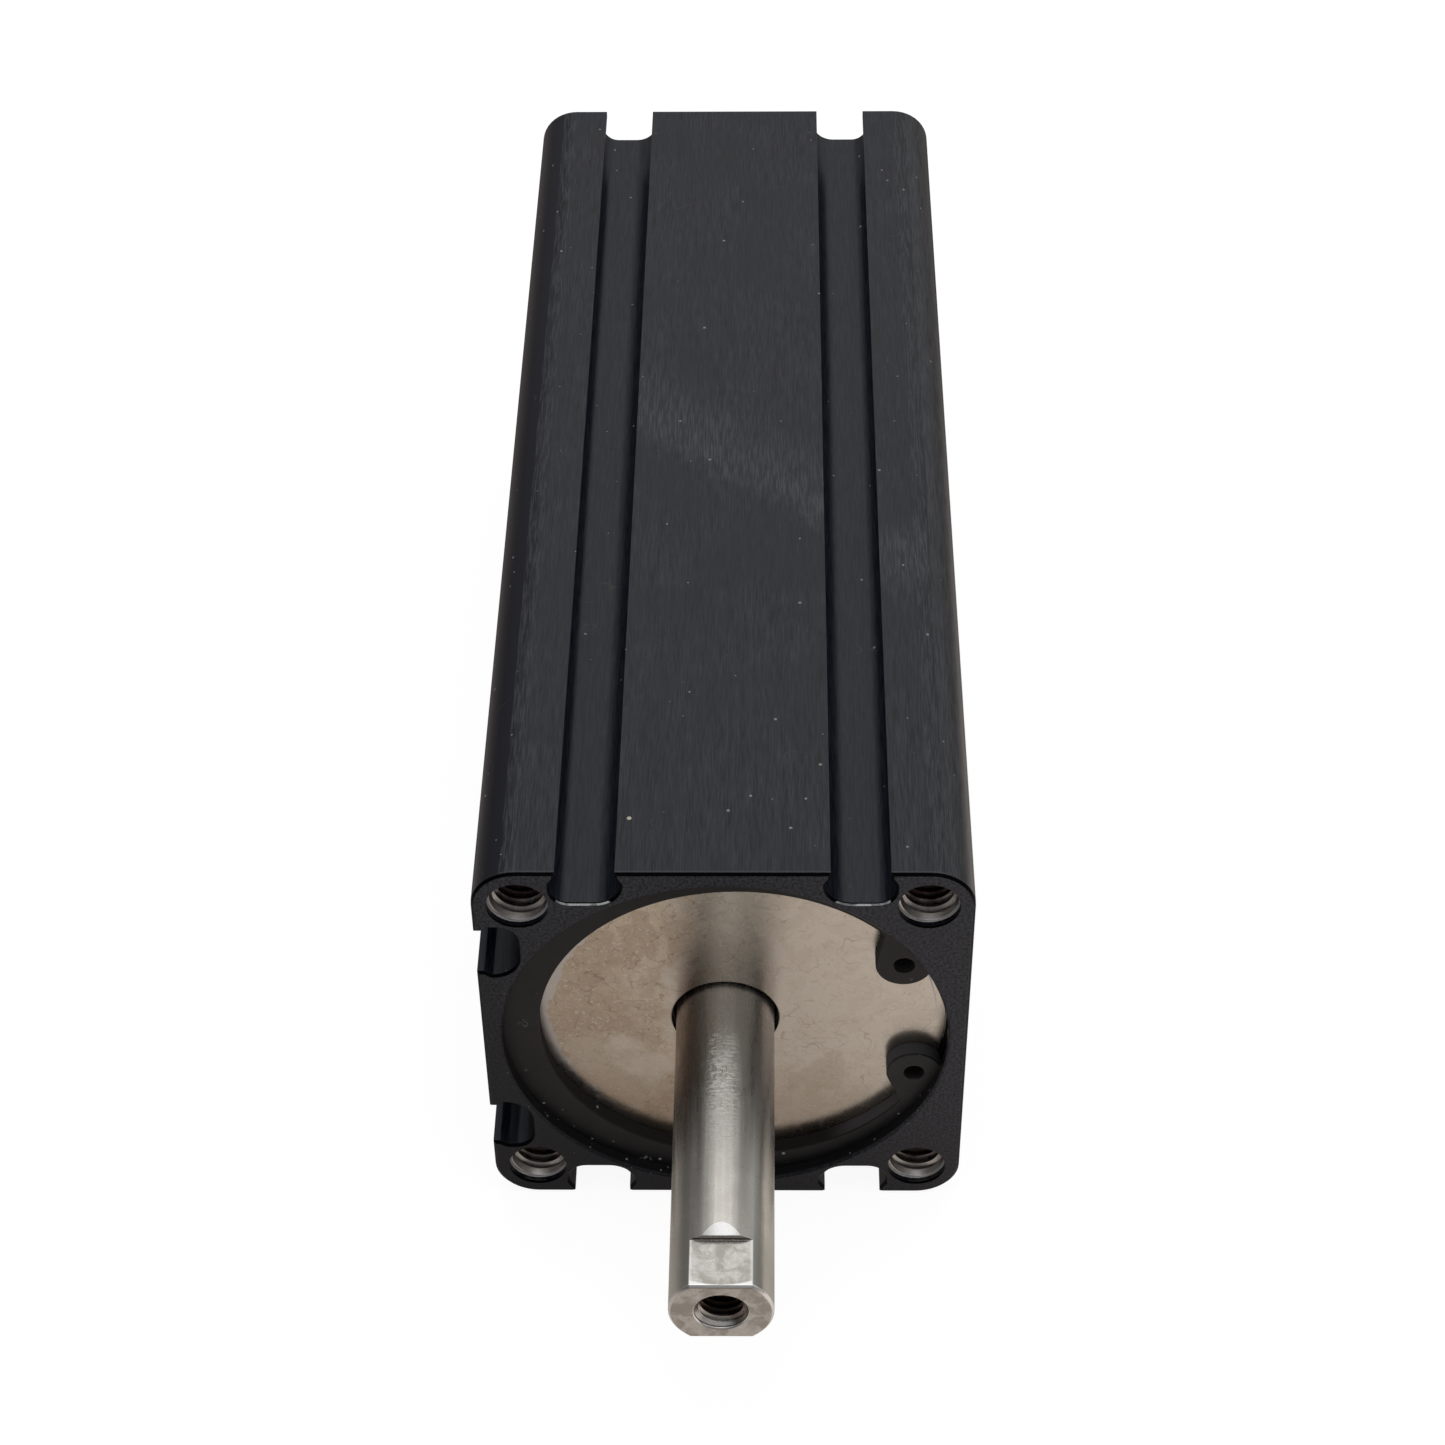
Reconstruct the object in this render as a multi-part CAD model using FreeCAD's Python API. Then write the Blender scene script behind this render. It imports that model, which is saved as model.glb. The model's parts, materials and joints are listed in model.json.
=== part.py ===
import FreeCAD, Part
import math
import os

# Compact air cylinder with a square extruded tube, double acting, with one rod.
#
# Millimetres. The origin is the centre of the tube's front face, on the axis of the rod.
# The rod leaves along -Y, the tube runs back along +Y, and +Z is up. Sensor slots lie in the
# top, the bottom and the -X side; the air ports are in the plain +X side.

Vector = FreeCAD.Vector
ORIGIN = Vector(0, 0, 0)
AXIS = Vector(0, 1, 0)
NEAR = 1e-6                    # two lengths closer than this are the same

# ---------------------------------------------------------------- driving dimensions

# Motion
stroke_length = 90.0           # travel of the piston between its two bumpers
drawn_out = 26.2               # how far the rod is drawn out here, from fully home
home_reach = 7.0               # the rod's tip stands this far out of the tube when home

# Tube
bore_diameter = 40.0
seat_step = 2.6                # the cover seats are larger in radius than the bore by this
side_wall = 1.9                # metal between a cover seat and the flat sides
end_chamfer = 0.3              # round the outline of both end faces
mouth_chamfer = 0.25           # at the mouth of both cover seats
lead_in = 0.4                  # radial size of the cone that leads an O-ring into the bore
lead_in_length = 1.2

# Tapped holes in the corners, M6, as wide as the root of the thread
corner_thread_diameter = 6.1
corner_thread_depth = 18.0
corner_core_diameter = 5.0     # runs on through the whole tube
corner_inset = 4.5             # from the flat sides to the hole's axis, and the corner's radius

# Sensor slots
slot_sides = (0.0, 180.0, -90.0)   # turns about +Y that carry the top slots to each side
slot_neck = 5.83
slot_lip = 0.72                # thickness of the lips at the neck
slot_undercut = 0.5            # how far the slot widens below each lip
slot_undercut_height = 0.85    # over this depth
slot_depth = 4.2
slot_corner_radius = 1.9       # of the outer bottom corner; the inner one starts at the lip's base
slot_corner_limit = 0.9        # the outer corner is no more than this share of the inner one
slot_to_thread = 6.7           # from the middle of a slot to the axis of the corner hole beside it
slot_wall = 0.85               # least metal between a slot and the cover seats

# Air ports, M5, through the wall
port_diameter = 5.1
port_clearance = 0.05          # between the port and the spigot of the cover beside it

# Retaining rings
ring_depth = 1.45              # from the end of the tube to the ring
ring_thickness = 1.75
ring_seat = 0.6                # depth of the ring's groove
ring_play = 0.05
ring_bow_width = 4.3           # radial width opposite the lugs
ring_end_width = 1.6           # radial width that the bow tapers to, at the lugs
ring_bow_direction = 13.0      # degrees from +X towards +Z to where the bow would be narrowest
ring_gap_direction = 5.2       # degrees from +X towards +Z
lug_half_angle = 23.8          # from the middle of the gap to each lug hole
lug_radius = 2.85
lug_hole_diameter = 2.06
lug_hole_inset = 2.7           # from the outside of the ring to the middle of a lug hole
lug_back_angle = 40.0          # how steeply the back of a lug runs out to the rim

# Covers
cover_play = 0.05
cover_chamfer = 0.1            # on the rim of a cover and at the mouth of the rod's hole
flange_thickness = 3.2
spigot_length = 4.7
nose_length = 3.6
nose_radial_gap = 3.0          # air space between a nose and the bore
o_ring_section = 1.56          # squeezed height of a cover's O-ring
o_ring_play = 0.02
o_ring_groove_width = 2.3
o_ring_wall = 1.2              # metal between an O-ring groove and the flange
bumper_width = 3.0
bumper_wall = 1.0              # metal between a bumper and the outside of the nose
bumper_seat_depth = 1.5
bumper_stand_out = 0.8
bumper_play = 0.05
bumper_bevel = 0.4             # on the bumper's working edges

# Rod
rod_diameter = 10.0
rod_running_gap = 0.03         # radial, in the bush
rod_hole_gap = 0.45            # radial, in the face of the rod cover
rod_end_chamfer = 0.25
flats_width = 8.0              # across the wrench flats
flats_length = 5.4
ramp_rise = 0.35               # the cutter's run-out behind the flats
ramp_length = 1.35
rod_thread_diameter = 5.1      # M5, as wide as the root of the thread
rod_thread_depth = 12.0
rod_thread_mouth = 0.15        # radial size of the bevel at the mouth
drill_point_angle = 118.0
rod_spigot_diameter = 8.0

# Rod seal and bush
seal_lip_wall = 1.2            # the rod cover's face in front of the seal
seal_height = 2.5              # radial
seal_length = 3.0
seal_web = 1.0                 # metal between seal and bush
bush_wall = 1.0
fit_gap = 0.02                 # radial, for pieces pushed into each other

# Piston
piston_gap = 0.3               # radial, between the piston's metal and the bore
lip_gap = 0.05                 # radial, where a seal or wear ring runs
piston_seal_height = 3.0
piston_seal_width = 2.5
piston_land = 1.5              # metal outside each piston seal
piston_inner_land = 0.9        # metal between a piston seal and the magnet
magnet_width = 3.2
magnet_height = 4.35           # radial
wear_ring_thickness = 1.5
nut_flats = 13.0
nut_height = 4.0
washer_thickness = 1.2
washer_diameter = 16.0
nut_well_gap = 0.3             # radial, round the washer
nut_depth = 0.4                # the nut lies this far below the piston's rear face
spigot_o_ring_section = 1.3
spigot_o_ring_width = 1.7

# Rubber rings, as shares of their own section
o_ring_bevel = 0.29            # bevelled corners that stand in for the round section
seal_slack = 0.12              # how far a seal's heel stands back from each wall, of the height
lip_length = 0.55              # depth of the V between the lips, of the width
lip_land = 0.15                # bevelled end of each lip, of the width

overrun = 1.0                  # cutters pass an open surface by this much

# ---------------------------------------------------------------- worked-out dimensions

bore_radius = bore_diameter / 2
seat_radius = bore_radius + seat_step
half_width = seat_radius + side_wall
groove_radius = seat_radius + ring_seat
rod_radius = rod_diameter / 2

corner_hole = half_width - corner_inset            # x and z of the corner holes
corner_thread_radius = corner_thread_diameter / 2
slot_middle = corner_hole - slot_to_thread

# Distances from either end of the tube inwards
cover_face = ring_depth + ring_thickness
seat_end = cover_face + flange_thickness
spigot_end = seat_end + spigot_length
nose_end = spigot_end + nose_length
bumper_face = nose_end + bumper_stand_out

# The piston's own stations, from its front face backwards
magnet_start = piston_land + piston_seal_width + piston_inner_land
magnet_end = magnet_start + magnet_width
piston_length = magnet_end + piston_inner_land + piston_seal_width + piston_land

body_length = 2 * bumper_face + piston_length + stroke_length
piston_front = body_length - bumper_face - piston_length - drawn_out
piston_rear = piston_front + piston_length
rod_tip = -(home_reach + drawn_out)

cover_radius = seat_radius - cover_play
spigot_radius = bore_radius - cover_play
nose_radius = bore_radius - nose_radial_gap
seal_start = cover_face + seal_lip_wall
seal_end = seal_start + seal_length
bush_start = seal_end + seal_web
bush_radius = rod_radius + bush_wall
bumper_outer = nose_radius - bumper_wall
bumper_inner = bumper_outer - bumper_width
port_middle = spigot_end + port_clearance + port_diameter / 2

piston_radius = bore_radius - piston_gap
running_radius = bore_radius - lip_gap
wear_ring_inner = running_radius - wear_ring_thickness
magnet_outer = wear_ring_inner - lip_gap
magnet_inner = magnet_outer - magnet_height
spigot_hole = rod_spigot_diameter / 2 + fit_gap
nut_well_radius = washer_diameter / 2 + nut_well_gap
nut_rear = piston_rear - nut_depth
washer_rear = nut_rear - nut_height
washer_front = washer_rear - washer_thickness

# ---------------------------------------------------------------- helpers


def bar(radius, start, end, x=0.0, z=0.0):
    """A round bar along +Y."""
    return Part.makeCylinder(radius, end - start, Vector(x, start, z), AXIS)


def band(inner, outer, start, end):
    """A plain ring round the cylinder's axis."""
    return bar(outer, start, end).cut(bar(inner, start, end))


def cone(start_radius, end_radius, start, end, x=0.0, z=0.0):
    """A cone along +Y."""
    return Part.makeCone(start_radius, end_radius, end - start, Vector(x, start, z), AXIS)


def turned(section):
    """Turns a closed half section, given as (radius, y) corners, round the cylinder's axis."""
    corners = [Vector(radius, y, 0) for radius, y in section]
    face = Part.Face(Part.makePolygon(corners + corners[:1]))
    return face.revolve(ORIGIN, AXIS, 360)


def turn(shape, degrees):
    """A copy of the shape, turned about the cylinder's axis."""
    copy = shape.copy()
    copy.rotate(ORIGIN, AXIS, degrees)
    return copy


def at_rear(shape):
    """A copy for the rear end of a piece that was made for the front end."""
    return shape.mirror(Vector(0, body_length / 2, 0), AXIS)


def lies_at(edge, y):
    """Whether the whole edge lies in the plane across the axis at y."""
    box = edge.BoundBox
    return abs(box.YMin - y) < NEAR and abs(box.YMax - y) < NEAR


def bevelled(shape, size, chosen):
    """Chamfers the edges of the shape that chosen(edge) picks."""
    return shape.makeChamfer(size, [edge for edge in shape.Edges if chosen(edge)])


def o_ring(inner, section, middle):
    """An O-ring: its round section is drawn with eight sides, two of them flat on the walls."""
    outer = inner + section
    bevel = o_ring_bevel * section
    front, back = middle - section / 2, middle + section / 2
    return turned([(inner, front + bevel), (inner + bevel, front), (outer - bevel, front),
                   (outer, front + bevel), (outer, back - bevel), (outer - bevel, back),
                   (inner + bevel, back), (inner, back - bevel)])


# ---------------------------------------------------------------- tube


def tube_blank():
    """The outside of the extrusion: flat sides, and corners round about the corner holes."""
    square = Part.makeBox(2 * half_width, body_length, 2 * half_width,
                          Vector(-half_width, 0, -half_width))
    long_edges = [edge for edge in square.Edges if edge.BoundBox.YLength > body_length - NEAR]
    return square.makeFillet(corner_inset, long_edges)


def slot_cutter():
    """One T-slot in the top, on the +X side of the middle."""
    neck = slot_neck / 2
    side = neck + slot_undercut
    lip_base = slot_lip + slot_undercut_height
    inner_round = slot_depth - lip_base
    outer_round = min(slot_corner_radius, slot_corner_limit * inner_round)

    def at(across, depth):
        return Vector(slot_middle + across, 0, half_width - depth)

    def bottom_corner(sign, radius):
        """The arc from a side of the slot down to its floor. sign is 1 or -1 for the side."""
        centre = at(sign * (side - radius), slot_depth - radius)
        middle = centre + Vector(sign, 0, -1) * (radius / math.sqrt(2))
        return Part.Arc(centre + Vector(sign * radius, 0, 0), middle,
                        centre - Vector(0, 0, radius)).toShape()

    outer = [at(neck, -overrun), at(neck, slot_lip), at(side, lip_base),
             at(side, slot_depth - outer_round)]
    inner = [at(-side, lip_base), at(-neck, slot_lip), at(-neck, -overrun), outer[0]]
    edges = Part.makePolygon(outer).Edges + Part.makePolygon(inner).Edges
    edges += [bottom_corner(1, outer_round), bottom_corner(-1, inner_round)]
    edges.append(Part.makeLine(at(side - outer_round, slot_depth),
                               at(inner_round - side, slot_depth)))
    face = Part.Face(Part.Wire(Part.sortEdges(edges)[0]))
    solid = face.extrude(Vector(0, body_length, 0))
    return solid.cut(bar(seat_radius + slot_wall, 0, body_length))


def slotted_blank():
    blank = tube_blank()
    right_slot = slot_cutter()
    left_slot = right_slot.mirror(ORIGIN, Vector(1, 0, 0))
    for degrees in slot_sides:
        blank = blank.cut(turn(right_slot, degrees))
        blank = blank.cut(turn(left_slot, degrees))

    return bevelled(blank, end_chamfer, lambda edge: lies_at(edge, 0) or lies_at(edge, body_length))


def seat_cutter():
    """Everything turned into the front end of the tube: mouth, cover seat, groove and lead-in."""
    mouth = cone(seat_radius + mouth_chamfer, seat_radius, 0, mouth_chamfer)
    seat = bar(seat_radius, 0, seat_end)
    groove = bar(groove_radius, ring_depth - ring_play, cover_face + ring_play)
    lead = cone(bore_radius + lead_in, bore_radius, seat_end, seat_end + lead_in_length)
    return mouth.fuse([seat, groove, lead])


def corner_cutter():
    """The four corner holes, tapped from both ends."""
    holes = []
    for x in (-corner_hole, corner_hole):
        for z in (-corner_hole, corner_hole):
            tapped = bar(corner_thread_radius, 0, corner_thread_depth, x, z)
            core = bar(corner_core_diameter / 2, 0, body_length, x, z)
            holes += [tapped, at_rear(tapped), core]
    return holes


def port_cutter():
    return Part.makeCylinder(port_diameter / 2, half_width, Vector(0, port_middle, 0),
                             Vector(1, 0, 0))


def cylinder_tube():
    bore = bar(bore_radius, 0, body_length)
    ends = [seat_cutter(), at_rear(seat_cutter())]
    ports = [port_cutter(), at_rear(port_cutter())]
    return slotted_blank().cut([bore] + ends + corner_cutter() + ports)


# ---------------------------------------------------------------- retaining rings


def lug(side):
    """One plier lug: a round ear whose back runs out to the rim. side is 1 or -1 along the ring."""
    angle = math.radians(ring_gap_direction + side * lug_half_angle)
    outward = Vector(math.cos(angle), 0, math.sin(angle))
    away = Vector(-math.sin(angle), 0, math.cos(angle)) * side
    hole_radius = groove_radius - ring_play - lug_hole_inset
    middle = outward * hole_radius + Vector(0, ring_depth, 0)
    back = math.radians(lug_back_angle)
    run = away * math.cos(back) + outward * math.sin(back)
    inward = away * math.sin(back) - outward * math.cos(back)
    touch = middle + inward * lug_radius
    heel = Part.makePolygon([middle, touch, touch + run * 2 * lug_radius,
                             middle + outward * lug_radius, middle])
    ear = Part.makeCylinder(lug_radius, ring_thickness, middle, AXIS)
    ear = ear.fuse(Part.Face(heel).extrude(Vector(0, ring_thickness, 0)))
    hole = Part.makeCylinder(lug_hole_diameter / 2, ring_thickness, middle, AXIS)
    return ear, hole


def gap_wedge():
    """The sector between the two lug holes."""
    reach = 2 * groove_radius
    points = [ORIGIN]
    for side in (-1, 0, 1):
        angle = math.radians(ring_gap_direction + side * lug_half_angle)
        points.append(Vector(reach * math.cos(angle), 0, reach * math.sin(angle)))
    wedge = Part.Face(Part.makePolygon(points + [ORIGIN]))
    return wedge.extrude(Vector(0, cover_face, 0))


def retaining_ring():
    """A bow that tapers from behind towards the gap, with a lug at each end."""
    outer = groove_radius - ring_play
    offset = (ring_bow_width - ring_end_width) / 2
    inner = outer - (ring_bow_width + ring_end_width) / 2
    direction = math.radians(ring_bow_direction)
    disc = bar(outer, ring_depth, cover_face)
    hollow = bar(inner, ring_depth, cover_face,
                 offset * math.cos(direction), offset * math.sin(direction))
    ring = disc.cut([hollow, gap_wedge()])
    ears, holes = zip(*[lug(side) for side in (-1, 1)])
    ring = ring.fuse([ear.common(disc) for ear in ears]).removeSplitter()
    return ring.cut(list(holes))


# ---------------------------------------------------------------- covers


def cover_blank():
    """What both covers share: flange, spigot with an O-ring groove, nose and bumper seat."""
    blank = turned([(0, cover_face), (cover_radius - cover_chamfer, cover_face),
                    (cover_radius, cover_face + cover_chamfer), (cover_radius, seat_end),
                    (spigot_radius, seat_end), (spigot_radius, spigot_end),
                    (nose_radius, spigot_end), (nose_radius, nose_end), (0, nose_end)])
    groove_start = seat_end + o_ring_wall
    groove_bottom = bore_radius - o_ring_section - 2 * o_ring_play
    groove = band(groove_bottom, bore_radius, groove_start, groove_start + o_ring_groove_width)
    bumper_seat = band(bumper_inner - bumper_play, bumper_outer + bumper_play,
                       nose_end - bumper_seat_depth, nose_end)
    return blank.cut([groove, bumper_seat])


def rod_cover():
    rod_hole = rod_radius + rod_hole_gap
    return cover_blank().cut([
        bar(rod_hole, cover_face, nose_end),
        cone(rod_hole + cover_chamfer, rod_hole, cover_face, cover_face + cover_chamfer),
        bar(rod_radius + seal_height, seal_start, seal_end),
        bar(bush_radius, bush_start, nose_end)])


def cover_o_ring():
    return o_ring(bore_radius - o_ring_play - o_ring_section, o_ring_section,
                  seat_end + o_ring_wall + o_ring_groove_width / 2)


def bumper():
    """An elastic ring with bevelled working edges."""
    ring = band(bumper_inner, bumper_outer, nose_end - bumper_seat_depth, bumper_face)
    return bevelled(ring, bumper_bevel, lambda edge: lies_at(edge, bumper_face))


def rod_bush():
    return band(rod_radius + rod_running_gap, bush_radius - fit_gap, bush_start, nose_end)


def lip_seal(inner, outer, heel, mouth):
    """A U-shaped lip seal. The mouth is the y of its open side and the heel that of its back."""
    width = mouth - heel
    middle = (inner + outer) / 2
    slack = seal_slack * (outer - inner)
    edge = mouth - lip_land * width
    return turned([(inner + slack, heel), (outer - slack, heel), (outer, edge),
                   (outer - slack, mouth), (middle + slack, mouth),
                   (middle, mouth - lip_length * width), (middle - slack, mouth),
                   (inner + slack, mouth), (inner, edge)])


def rod_seal():
    return lip_seal(rod_radius + rod_running_gap, rod_radius + seal_height - fit_gap,
                    seal_start + fit_gap, seal_end - fit_gap)


# ---------------------------------------------------------------- rod and piston


def wrench_flat():
    """Cutter for the upper flat, with the run-out ramp behind it."""
    height = flats_width / 2
    shoulder = rod_tip + flats_length
    ramp_foot = rod_radius - ramp_rise
    slope = ramp_rise / ramp_length
    reach = 2 * ramp_length
    side = [Vector(-rod_radius, rod_tip, height), Vector(-rod_radius, shoulder, height),
            Vector(-rod_radius, shoulder, ramp_foot),
            Vector(-rod_radius, shoulder + reach, ramp_foot + slope * reach),
            Vector(-rod_radius, rod_tip, ramp_foot + slope * reach)]
    return Part.Face(Part.makePolygon(side + side[:1])).extrude(Vector(rod_diameter, 0, 0))


def piston_rod():
    end_radius = rod_spigot_diameter / 2
    rod = turned([(0, rod_tip), (rod_radius, rod_tip), (rod_radius, piston_front),
                  (end_radius, piston_front), (end_radius, nut_rear), (0, nut_rear)])
    rod = rod.cut([wrench_flat(), turn(wrench_flat(), 180)])
    rod = bevelled(rod, rod_end_chamfer, lambda edge: lies_at(edge, rod_tip))
    radius = rod_thread_diameter / 2
    bottom = rod_tip + rod_thread_depth
    point = radius / math.tan(math.radians(drill_point_angle / 2))
    return rod.cut([bar(radius, rod_tip, bottom), cone(radius, 0, bottom, bottom + point),
                    cone(radius + rod_thread_mouth, radius, rod_tip, rod_tip + rod_thread_mouth)])


def seal_groove(start):
    return band(running_radius - piston_seal_height - lip_gap, bore_radius,
                start, start + piston_seal_width)


def piston_front_half():
    half = band(spigot_hole, piston_radius, piston_front, piston_front + magnet_start)
    o_ring_middle = piston_front + magnet_start / 2
    o_ring_groove = bar(rod_spigot_diameter / 2 + spigot_o_ring_section + 2 * fit_gap,
                        o_ring_middle - spigot_o_ring_width / 2,
                        o_ring_middle + spigot_o_ring_width / 2)
    return half.cut([seal_groove(piston_front + piston_land), o_ring_groove])


def piston_rear_half():
    flange = band(spigot_hole, piston_radius, piston_front + magnet_end, piston_rear)
    hub = band(spigot_hole, magnet_inner - fit_gap, piston_front + magnet_start, piston_rear)
    well = bar(nut_well_radius, washer_front, piston_rear)
    groove = seal_groove(piston_rear - piston_land - piston_seal_width)
    return flange.fuse(hub).removeSplitter().cut([well, groove])


def piston_magnet():
    return band(magnet_inner, magnet_outer, piston_front + magnet_start, piston_front + magnet_end)


def piston_wear_ring():
    return band(wear_ring_inner, running_radius, piston_front + magnet_start + lip_gap,
                piston_front + magnet_end - lip_gap)


def piston_seal_front():
    start = piston_front + piston_land
    return lip_seal(running_radius - piston_seal_height, running_radius,
                    start + piston_seal_width - lip_gap, start + lip_gap)


def piston_seal_rear():
    end = piston_rear - piston_land
    return lip_seal(running_radius - piston_seal_height, running_radius,
                    end - piston_seal_width + lip_gap, end - lip_gap)


def piston_o_ring():
    return o_ring(rod_spigot_diameter / 2 + fit_gap, spigot_o_ring_section,
                  piston_front + magnet_start / 2)


def piston_washer():
    return band(spigot_hole, washer_diameter / 2, washer_front, washer_rear)


def piston_nut():
    """A thin hexagon nut with its corners turned off on both sides."""
    across_corners = nut_flats / math.cos(math.radians(30))
    corners = [Vector(across_corners / 2 * math.cos(math.radians(60 * step)), washer_rear,
                      across_corners / 2 * math.sin(math.radians(60 * step))) for step in range(7)]
    prism = Part.Face(Part.makePolygon(corners)).extrude(Vector(0, nut_height, 0))
    drop = (across_corners - nut_flats) / 2 * math.tan(math.radians(30))
    envelope = turned([(0, washer_rear), (nut_flats / 2, washer_rear),
                       (across_corners / 2, washer_rear + drop),
                       (across_corners / 2, nut_rear - drop), (nut_flats / 2, nut_rear),
                       (0, nut_rear)])
    return prism.common(envelope).cut(bar(spigot_hole, washer_rear, nut_rear))


# ---------------------------------------------------------------- the whole cylinder

pieces = {
    "cylinder_tube": cylinder_tube(),
    "rod_cover": rod_cover(),
    "rod_bush": rod_bush(),
    "rod_seal": rod_seal(),
    "rod_cover_o_ring": cover_o_ring(),
    "front_bumper": bumper(),
    "front_retaining_ring": retaining_ring(),
    "head_cover": at_rear(cover_blank()),
    "head_cover_o_ring": at_rear(cover_o_ring()),
    "rear_bumper": at_rear(bumper()),
    "rear_retaining_ring": at_rear(retaining_ring()),
    "piston_rod": piston_rod(),
    "piston_front_half": piston_front_half(),
    "piston_rear_half": piston_rear_half(),
    "piston_magnet": piston_magnet(),
    "piston_wear_ring": piston_wear_ring(),
    "piston_seal_front": piston_seal_front(),
    "piston_seal_rear": piston_seal_rear(),
    "piston_o_ring": piston_o_ring(),
    "piston_washer": piston_washer(),
    "piston_nut": piston_nut(),
}

os.makedirs("parts", exist_ok=True)
for name, shape in pieces.items():
    shape.exportStep("parts/" + name + ".step")
    print(name, "solids", len(shape.Solids), "valid", shape.isValid(),
          "volume", round(shape.Volume, 2))
print("body length", body_length, "piston", piston_front, piston_rear, "tip", rod_tip)
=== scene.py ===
# %% [markdown]
# # Dressing a compact air cylinder
#
# The object is a double-acting air cylinder. A black anodised tube with T-slots holds a
# piston, a champagne-coloured cover closes its front behind a retaining ring, and a satin
# steel rod slides through that cover. The CAD model already holds every piece at its real
# size. This notebook adds what makes the metal look real: softened edges, screw threads,
# finishes, dust and light.

# %% Load the frame
import json
import math
from types import SimpleNamespace

import bpy
from mathutils import Matrix, Vector


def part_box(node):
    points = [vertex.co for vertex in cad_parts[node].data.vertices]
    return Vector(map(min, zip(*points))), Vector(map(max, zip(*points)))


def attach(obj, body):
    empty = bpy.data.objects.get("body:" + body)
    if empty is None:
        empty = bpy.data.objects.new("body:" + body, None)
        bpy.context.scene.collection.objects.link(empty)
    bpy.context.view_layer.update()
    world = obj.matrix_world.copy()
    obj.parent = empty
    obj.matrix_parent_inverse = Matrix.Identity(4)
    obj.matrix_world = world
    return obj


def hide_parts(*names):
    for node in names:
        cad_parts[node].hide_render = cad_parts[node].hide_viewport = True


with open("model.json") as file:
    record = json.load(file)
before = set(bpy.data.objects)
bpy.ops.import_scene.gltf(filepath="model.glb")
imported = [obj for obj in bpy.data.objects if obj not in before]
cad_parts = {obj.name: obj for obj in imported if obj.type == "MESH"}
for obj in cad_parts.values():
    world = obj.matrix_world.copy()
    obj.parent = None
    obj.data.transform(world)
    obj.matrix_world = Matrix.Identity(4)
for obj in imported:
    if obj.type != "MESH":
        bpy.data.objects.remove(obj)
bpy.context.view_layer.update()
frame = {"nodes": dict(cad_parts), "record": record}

# %% [markdown]
# ## Sizes that come from the frame
#
# Nothing here is placed by eye. The tube's box gives the end faces and the flat sides, and the
# record's mounts give the middle, the radius and the depth of every tapped hole, so a thread
# made below lands in its hole even if the CAD model changes.

# %% Read the sizes
mm = 0.001
tube_low, tube_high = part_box("cylinder_tube")
rod_low, rod_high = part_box("piston_rod")
ring_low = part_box("front_retaining_ring")[0]
half_width, seat_radius, ring_radius = tube_high.x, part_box("rod_cover")[1].x, -ring_low.x
front, rear, ring_face = tube_low.y, tube_high.y, ring_low.y
mounts = {mount["name"]: mount for mount in frame["record"]["mounts"]}
slot_middle = mounts["sensor_slots"]["pos_m"][0]
flat_middle, flat_height = mounts["wrench_flats"]["pos_m"][1:]
flats_end = 2 * flat_middle - rod_low.y
print("tube", round(2 * half_width / mm, 2), "mm wide,", round((rear - front) / mm, 2), "mm long")

# %% Sizes that no box or mount tells
slot_depth = 4.2 * mm
ring_width = 2.95 * mm                              # on average, because its hollow is off centre
hollow_x, hollow_z = 1.32 * mm, 0.30 * mm
slot_floor = tube_high.z - slot_depth
hollow_radius = ring_radius - ring_width
print("slot floor", round(slot_floor / mm, 2), "mm up, hollow", round(hollow_radius / mm, 2), "mm")

# %% [markdown]
# ## The camera
#
# The camera looks down at the front end along the tube, so the far end narrows strongly. Such
# a view is set by four things: the point aimed at, the distance, the two angles, and the
# lens. Two rotation matrices put the camera on its sphere, and a third one tips the horizon
# a little, as a camera held by hand does.

# %% Camera
def add_object(name, data):
    """Puts an object with this data into the scene. Returns it."""
    made = bpy.data.objects.new(name, data)
    bpy.context.scene.collection.objects.link(made)
    return made


camera_data = bpy.data.cameras.new("camera")
camera_data.sensor_width = 36
camera_data.lens = 77.67
camera_aim = Vector((-0.24 * mm, front + 21.16 * mm, tube_high.z))
camera_distance = 314.2 * mm
camera_elevation = math.radians(43.56)
camera_turn = math.radians(1.25)
camera_tip = math.radians(-0.85)

camera = add_object("camera", camera_data)
tilt = math.pi / 2 - camera_elevation
view = (Matrix.Rotation(camera_turn, 4, "Z") @ Matrix.Rotation(tilt, 4, "X")
        @ Matrix.Rotation(camera_tip, 4, "Z"))
backwards = view @ Vector((0, 0, 1))
camera.matrix_world = Matrix.Translation(camera_aim + backwards * camera_distance) @ view
bpy.context.scene.camera = camera
bpy.context.scene.view_settings.view_transform = "Standard"
print("camera at", [round(value / mm, 1) for value in camera.location], "mm")

# %% [markdown]
# ## Softened edges
#
# No real edge is perfectly sharp: a thin round catches the light and draws the bright line by
# which the eye finds a metal edge. The CAD node itself stays as it is. A copy has its loose
# triangles merged and its flat faces cleaned up, and a Bevel modifier rounds every edge that
# turns more than 28 degrees, so the facets of round walls stay out of it. A Weighted Normal
# modifier then keeps the shading of the big faces flat. The copy stands for the CAD node.

# %% Soften edges
body_of_node = {node: body for body, nodes in frame["record"]["behaviour"]["bodies"].items()
                for node in nodes}
shown = dict(frame["nodes"])


def apply_modifiers(piece):
    """Applies all modifiers of a piece, in order."""
    bpy.context.view_layer.objects.active = piece
    for name in [modifier.name for modifier in piece.modifiers]:
        bpy.ops.object.modifier_apply(modifier=name)


def select_only(piece):
    """Selects one object and makes it the active one."""
    bpy.ops.object.select_all(action="DESELECT")
    piece.select_set(True)
    bpy.context.view_layer.objects.active = piece


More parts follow.
